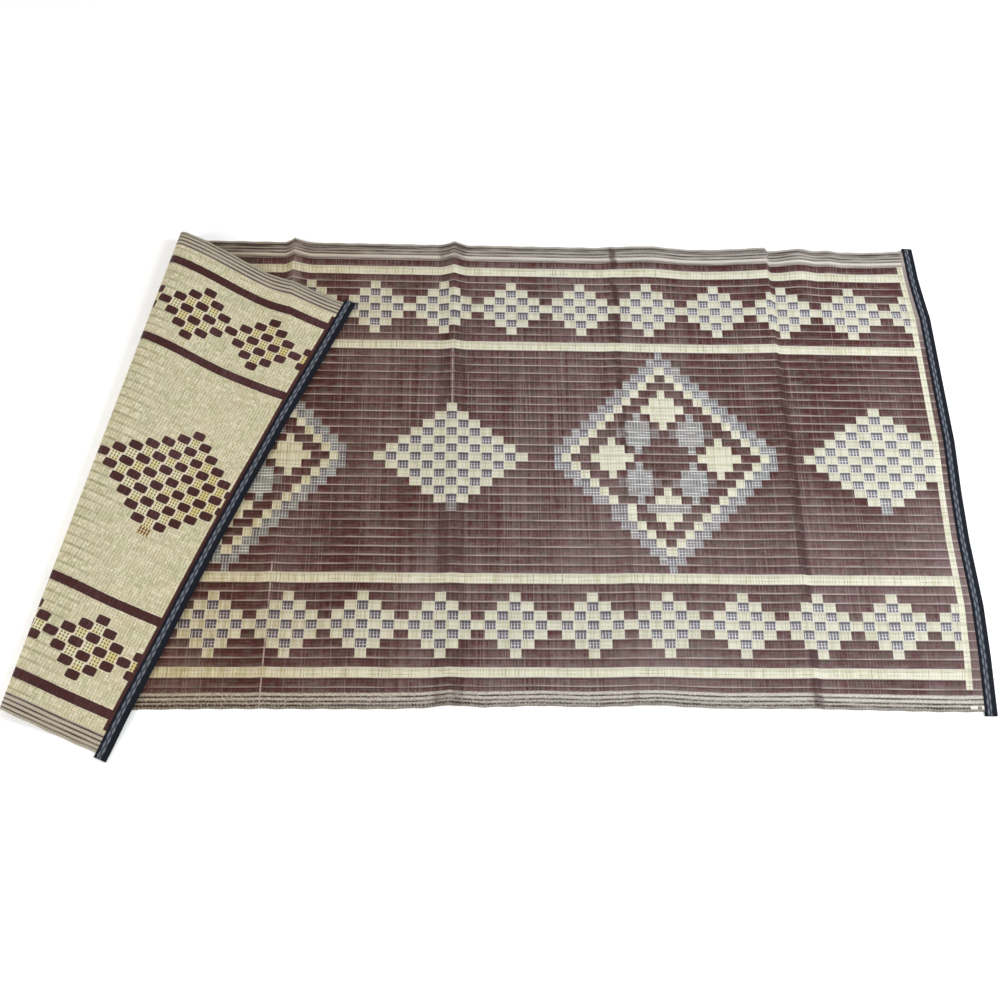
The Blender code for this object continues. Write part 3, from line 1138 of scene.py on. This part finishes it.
def beige_field(count, marks):
    patch = blotches(count.straw, count.row, 0.11, 0.5, 11.0, 3.0)
    fine = blotches(count.half_number, count.third_number, 4.1, 3.9, 16.0)
    streak = blotches(count.straw, count.third_number, 0.16, 3.7, 28.0)
    speckle = blotches(count.straw_number, count.third_number, 4.3, 4.1, 12.0)
    dark = (
        product(net_of_dots(count, 0.30, 0.44), soft_step(speckle, 0.30, 0.62, 0.06, 0.54)),
        product(marks.third, marks.third_share, 0.16),
        # Painted shade between the bent rows beside the fold.
        rib_shade_at_fold(count),
    )
    return layered(
        mixed_colour(soft_step(patch, 0.35, 0.65), BEIGE_GREEN, BEIGE_WARM),
        (BEIGE_THREAD, soft_step(fine, 0.38, 0.68, 0.0, 0.60)),
        (OLIVE, soft_step(streak, 0.46, 0.68, 0.0, 0.13)),
        (OLIVE, largest(*dark)),
    )


def rounded_step(tree, count):
    """How far out of a brown step's rounded form a point is; 1 is its edge, which straw ends make uneven."""
    step_map = add_node(tree, "ShaderNodeUVMap", uv_map="step").outputs[0]
    along = calc("ABSOLUTE", add_node(tree, "ShaderNodeSeparateXYZ", {0: step_map}).outputs[0])
    striped = calc("LESS_THAN", along, 0.0001)
    # A mixed step shows the edge of the brown one beside it.
    along = distance(along, count.mixed)
    across = distance(count.down, 0.5)
    ending = calc("LESS_THAN", count.straw, FIRST_STRAW)
    reach = total(product(striped, -0.01), product(ending, 0.15), 0.475)
    form = total(
        calc("POWER", calc("DIVIDE", along, 0.53), 4.0),
        calc("POWER", calc("DIVIDE", across, reach), 5.0),
    )
    uneven = blotches(count.half_number, count.third_number, 3.9, 4.3, 17.0)
    return product(form, total(uneven, 0.5))


def barred_field(count):
    """Cream over brown: a net of dark holes in a pale or yellow ground."""
    ending = soft_step(count.straw, YELLOW_END[1], YELLOW_END[0], 1.0, 0.0)
    patch = blotches(count.straw, count.row, 0.2, 0.6, 14.0)
    patch = total(patch, soft_step(count.row, -16.0, -10.0, 0.08, -0.02))
    yellow = largest(ending, soft_step(patch, 0.44, 0.58, 0.10, 0.70))
    ground = mixed_colour(yellow, UNDER_PALE, STRAW_YELLOW)
    return layered(ground, (OLIVE, net_of_dots(count, 0.36, 0.50), 0.95))


print("underside fields ready")

# %% Put the underside together


def make_underside():
    material, tree, shader = new_material("mat_underside", roughness=0.52, gloss=0.14)
    count = weave_counts(tree, "under_field")
    marks = common_marks(count)
    tone = straw_tone(count)
    form = rounded_step(tree, count)
    inside = soft_step(form, 0.80, 1.15, 1.0, 0.0)
    patterned = largest(count.cream, count.mixed)
    brown = layered(
        mixed_colour(tone, UNDER_RED, UNDER_PLUM),
        (UNDER_EDGE, soft_step(form, 0.02, 0.75, 0.0, 0.75)),
        (BLACK_BROWN, marks.groove, 0.35),
    )
    faded = mixed_colour(net_of_dots(count, 0.42, 0.56), UNDER_PLUM, STRAW_YELLOW)
    colour = layered(
        beige_field(count, marks),
        (barred_field(count), count.mixed),
        (EDGE_ROSE, soft_step(form, 2.0, 3.2, 0.70, 0.0), patterned),
        (brown, patterned, inside),
        (faded, soft_step(count.pale, 0.20, 0.60), inside),
    )
    lines = selvedge_lines(count, UNDER_SELVEDGE, UNDER_LOOSE)
    colour = with_selvedge(count, marks, lines, UNDER_SELVEDGE_ROW, UNDER_ROSE, UNDER_LOOSE, colour)
    tree.links.new(colour, shader.inputs["Base Color"])
    add_relief(tree, shader, marks)
    return material


underside = make_underside()
print("underside", len(underside.node_tree.nodes), "nodes")

# %% Finish the cloth
BAKE_MARGIN = 0.001


def lay_bake_map(piece):
    """The patterned face on one half of a square, and the underside on the other."""
    mesh = piece.data
    weave_map = mesh.uv_layers["weave"]
    bake_map = mesh.uv_layers.new(name="OFBake")
    reach = STRAW_LINES[-1] - STRAW_LINES[0]
    for face in mesh.polygons:
        base = BAKE_MARGIN + 0.5 * face.material_index
        for corner in face.loop_indices:
            straw, row = weave_map.data[corner].uv
            along = BAKE_MARGIN + (1 - 2 * BAKE_MARGIN) * (straw - STRAW_LINES[0]) / reach
            across = base + (0.5 - 2 * BAKE_MARGIN) * (LAST_ROW - row) / (2 * LAST_ROW)
            bake_map.data[corner].uv = (along, across)


cloth.data.materials.append(patterned_face)
cloth.data.materials.append(underside)
bpy.ops.object.modifier_apply(modifier=cloth_solid.name)
lay_bake_map(cloth)
print("cloth", len(cloth.data.polygons), "faces")

# %% [markdown]
# ## The bindings
#
# A tape is folded round each short end and sewn down. It is black, with a grey twill stripe along the
# middle of each face. A curve with a bevel could follow the end, but it doesn't know the tape's own
# lengths. Here its section is drawn once, as distance in from the end and distance off the cloth, and a
# grid takes that section along the whole end, with a map in metres that places the twill.

# %% Sew the tapes round the ends
TAPE_BEND_CELLS = 6
TAPE_FLAT_CELLS = 8
TAPE_ROWS = 180


def tape_section():
    """How far in from the mat's end, how far off the cloth's middle surface, and how far round the tape."""
    offset = CLOTH_THICKNESS / 2 + TAPE_GAP + TAPE_THICKNESS / 2
    turn_centre = TAPE_THICKNESS / 2 + offset
    run = TAPE_WIDTH - turn_centre
    upper = [(TAPE_WIDTH - run * cell / TAPE_FLAT_CELLS, offset) for cell in range(TAPE_FLAT_CELLS)]
    turns = [math.pi * (0.5 - cell / TAPE_BEND_CELLS) for cell in range(TAPE_BEND_CELLS + 1)]
    bend = [(turn_centre - offset * math.cos(turn), offset * math.sin(turn)) for turn in turns]
    lower = [(inset, -off) for inset, off in reversed(upper)]
    section = upper + bend + lower
    ways = [0.0]
    for first, last in zip(section, section[1:]):
        ways.append(ways[-1] + math.dist(first, last))
    return section, [way - ways[-1] / 2 for way in ways]


def sew_tape(name, end):
    section, ways = tape_section()
    reach = HALF_WIDTH + TAPE_OVERHANG
    places = [reach * (2 * row / TAPE_ROWS - 1) for row in range(TAPE_ROWS + 1)]
    sheet, lines = grid_sheet(len(section) - 1, TAPE_ROWS)
    tape_map = sheet.loops.layers.uv.new("tape")
    for face in sheet.faces:
        for loop in face.loops:
            column, row = lines[loop.vert]
            loop[tape_map].uv = (ways[column], places[row])
    for corner in sheet.verts:
        (inset, offset), across = section[lines[corner][0]], places[lines[corner][1]]
        along = end * (HALF_LENGTH - inset)
        corner.co = mat_point(along, across) + offset * mat_normal(along, across)
    if end > 0:
        bmesh.ops.reverse_faces(sheet, faces=sheet.faces)
    tape, solid = finished_sheet(sheet, name, TAPE_THICKNESS)
    bpy.ops.object.modifier_apply(modifier=solid.name)
    return tape


tape_right = sew_tape("tape_flat_end", 1)
tape_left = sew_tape("tape_folded_end", -1)
print("tapes", len(tape_right.data.polygons), len(tape_left.data.polygons), "faces")

# %% Make the tape's weave
TAPE_BLACK = (0.006, 0.007, 0.011)
TAPE_BLUE_BLACK = (0.016, 0.019, 0.029)
TWILL_GREY = (0.132, 0.148, 0.176)
TWILL_DARK = (0.022, 0.026, 0.036)
STRIPE_MIDDLE = 0.0133
STRIPE_HALF = 0.0043
DIAMOND_LENGTH = 0.0165
RIB_PITCH = 0.0011
RIB_RELIEF = 0.0002
RIB_STRENGTH = 0.4


def make_tape_weave():
    material, tree, shader = new_material("tape_black_and_grey", roughness=0.75, gloss=0.10)
    place = add_node(tree, "ShaderNodeUVMap", uv_map="tape").outputs[0]
    split = add_node(tree, "ShaderNodeSeparateXYZ", {0: place})
    way = calc("SUBTRACT", calc("ABSOLUTE", split.outputs[0]), STRIPE_MIDDLE)
    strand = distance(calc("ABSOLUTE", way), STRIPE_HALF / 2)
    shift = product(calc("SIGN", way), DIAMOND_LENGTH / 4)
    turn = calc("DIVIDE", total(split.outputs[1], shift), DIAMOND_LENGTH)
    slant = total(product(calc("PINGPONG", turn, 0.5), 1.8), calc("DIVIDE", strand, STRIPE_HALF / 2))
    rib = calc("PINGPONG", calc("DIVIDE", split.outputs[1], RIB_PITCH), 0.5)
    grey = mixed_colour(soft_step(slant, 0.75, 1.15), TWILL_GREY, TWILL_DARK)
    stripe = soft_step(calc("ABSOLUTE", way), STRIPE_HALF * 0.9, STRIPE_HALF, 1.0, 0.0)
    black = mixed_colour(rib, TAPE_BLACK, TAPE_BLUE_BLACK)
    tree.links.new(mixed_colour(stripe, black, grey), shader.inputs["Base Color"])
    bump = add_node(tree, "ShaderNodeBump", {"Height": rib, "Strength": RIB_STRENGTH, "Distance": RIB_RELIEF})
    tree.links.new(bump.outputs["Normal"], shader.inputs["Normal"])
    return material


tape_weave = make_tape_weave()
for tape in (tape_right, tape_left):
    tape.data.materials.append(tape_weave)
print("tape weave", len(tape_weave.node_tree.nodes), "nodes")

# %% [markdown]
# ## Floor and light
#
# The mat lies on a plain pale floor that glows a little. A sky alone would light both sides of a crease
# alike and hide it. So a large soft lamp at the right and a smaller one at the left light the creases from
# the side and leave a faint sheen on the straws, and a pale sky only fills the shadows.

# %% Lay the floor and set the lamps
FLOOR_SIZE = 14.0
FLOOR_DEPTH = 0.0004
FLOOR_COLOUR = (0.92, 0.92, 0.92, 1.0)
FLOOR_GLOW = (0.95, 0.98, 1.0, 1.0)
FLOOR_GLOW_STRENGTH = 0.19
SKY_COLOUR = (1.0, 0.975, 0.94, 1.0)
SKY_STRENGTH = 0.56


def lay_floor():
    bpy.ops.object.select_all(action="DESELECT")
    bpy.ops.mesh.primitive_plane_add(size=FLOOR_SIZE, location=(0.0, 0.0, -FLOOR_DEPTH))
    floor = bpy.context.object
    floor.name = "studio_floor"
    material, _, shader = new_material("floor_white", roughness=0.9, gloss=0.1)
    shader.inputs["Base Color"].default_value = FLOOR_COLOUR
    shader.inputs["Emission Color"].default_value = FLOOR_GLOW
    shader.inputs["Emission Strength"].default_value = FLOOR_GLOW_STRENGTH
    floor.data.materials.append(material)


def add_lamp(name, place, aim, side, power, colour):
    bpy.ops.object.light_add(type="AREA", location=place)
    lamp = bpy.context.object
    lamp.name = name
    lamp.data.shape = "SQUARE"
    lamp.data.size = side
    lamp.data.energy = power
    lamp.data.color = colour
    lamp.rotation_euler = (Vector(aim) - Vector(place)).to_track_quat("-Z", "Y").to_euler()


def fill_with_sky():
    world = bpy.data.worlds.new("studio_sky")
    world.use_nodes = True
    sky = world.node_tree.nodes["Background"]
    sky.inputs["Color"].default_value = SKY_COLOUR
    sky.inputs["Strength"].default_value = SKY_STRENGTH
    bpy.context.scene.world = world


lay_floor()
# name, place, aim, side, power, colour
for lamp in (
    ("lamp_right", (2.0, -0.1, 2.0), (0.3, 0.0, 0.0), 1.2, 54, (0.95, 1.0, 1.06)),
    ("lamp_left", (-2.4, -0.7, 1.3), (-0.4, 0.0, 0.0), 0.8, 25, (1.0, 0.98, 0.95)),
):
    add_lamp(*lamp)
fill_with_sky()
bpy.context.scene.view_settings.view_transform = "Standard"
print("floor and lamps set")

# %% [markdown]
# ## Putting the pieces in the frame
#
# Each piece rides on the mat's one body and stands for its imported solid, which is hidden.

# %% Hand the pieces over
for piece, node, slot in (
    (cloth, "mat_cloth", "woven_plastic"),
    (tape_right, "binding_right_end", "binding_tape"),
    (tape_left, "binding_left_end", "binding_tape"),
):
    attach(piece, "root")
    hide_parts(node)
